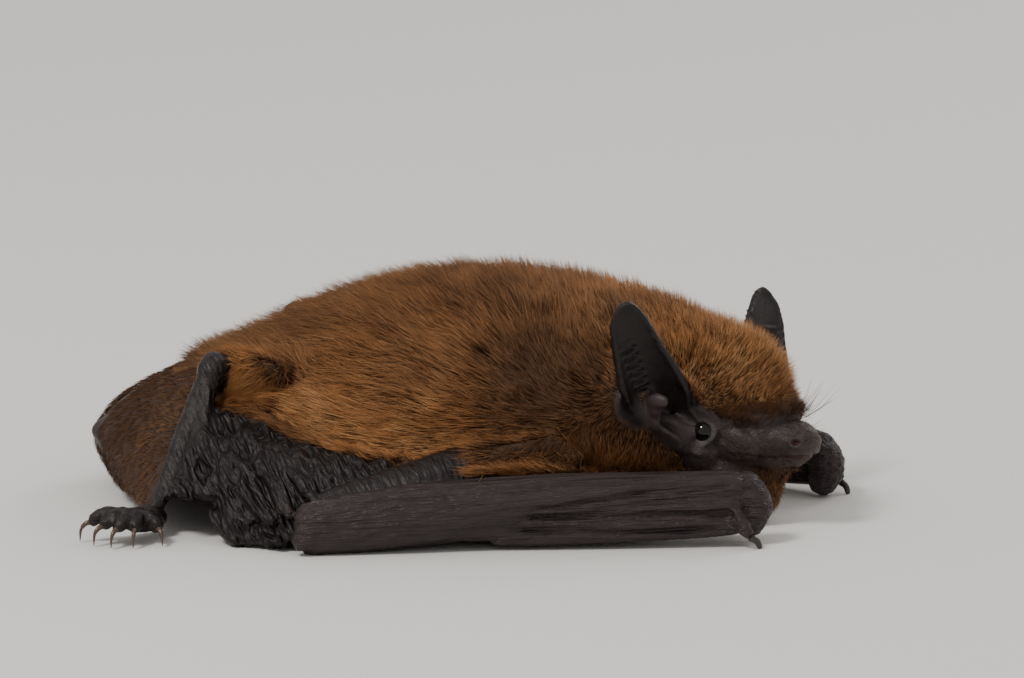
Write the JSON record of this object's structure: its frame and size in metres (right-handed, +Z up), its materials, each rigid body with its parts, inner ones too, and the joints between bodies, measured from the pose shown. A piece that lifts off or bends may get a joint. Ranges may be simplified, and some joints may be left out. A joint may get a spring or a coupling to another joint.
{
  "type": "bat",
  "caption": "Small brown pipistrelle bat at rest on its belly, wings folded along its sides, head turned a little to its right, as a still life-size model.",
  "frame": {"origin": "middle of the box round the whole animal, at the floor that it lies on", "axes": "+X forward to the nose, +Y to the bat's left, +Z up"},
  "size_m": [0.0544, 0.0438, 0.0177],
  "materials": {
    "fur": "soft brown fur",
    "skin": "bare dark skin, satin",
    "membrane": "thin dark wing skin, satin",
    "eye": "wet black gloss",
    "claw": "horn, satin"
  },
  "bodies": {
    "root": {"eye_right": "eye", "eye_left": "eye", "tragus_right": "skin", "ear_right": "skin", "tragus_left": "skin", "ear_left": "skin", "head": "fur", "muzzle": "skin", "lower_jaw": "skin", "neck": "fur", "trunk": "fur", "tail": "fur", "thumb_claw_right": "claw", "thumb_right": "skin", "finger_3_right": "membrane", "finger_4_right": "membrane", "finger_5_right": "membrane", "wrist_right": "skin", "forearm_right": "skin", "upper_arm_right": "skin", "thumb_claw_left": "claw", "thumb_left": "skin", "finger_3_left": "membrane", "finger_4_left": "membrane", "finger_5_left": "membrane", "wrist_left": "skin", "forearm_left": "skin", "upper_arm_left": "skin", "toe_claw_1_right": "claw", "toe_claw_2_right": "claw", "toe_claw_3_right": "claw", "toe_claw_4_right": "claw", "toe_claw_5_right": "claw", "foot_right": "skin", "shin_right": "skin", "thigh_right": "skin", "toe_claw_1_left": "claw", "toe_claw_2_left": "claw", "toe_claw_3_left": "claw", "toe_claw_4_left": "claw", "toe_claw_5_left": "claw", "foot_left": "skin", "shin_left": "skin", "thigh_left": "skin", "tail_membrane_right": "fur", "arm_membrane_right": "membrane", "front_membrane_right": "membrane", "tail_membrane_left": "fur", "arm_membrane_left": "membrane", "front_membrane_left": "membrane"}
  },
  "joints": []
}
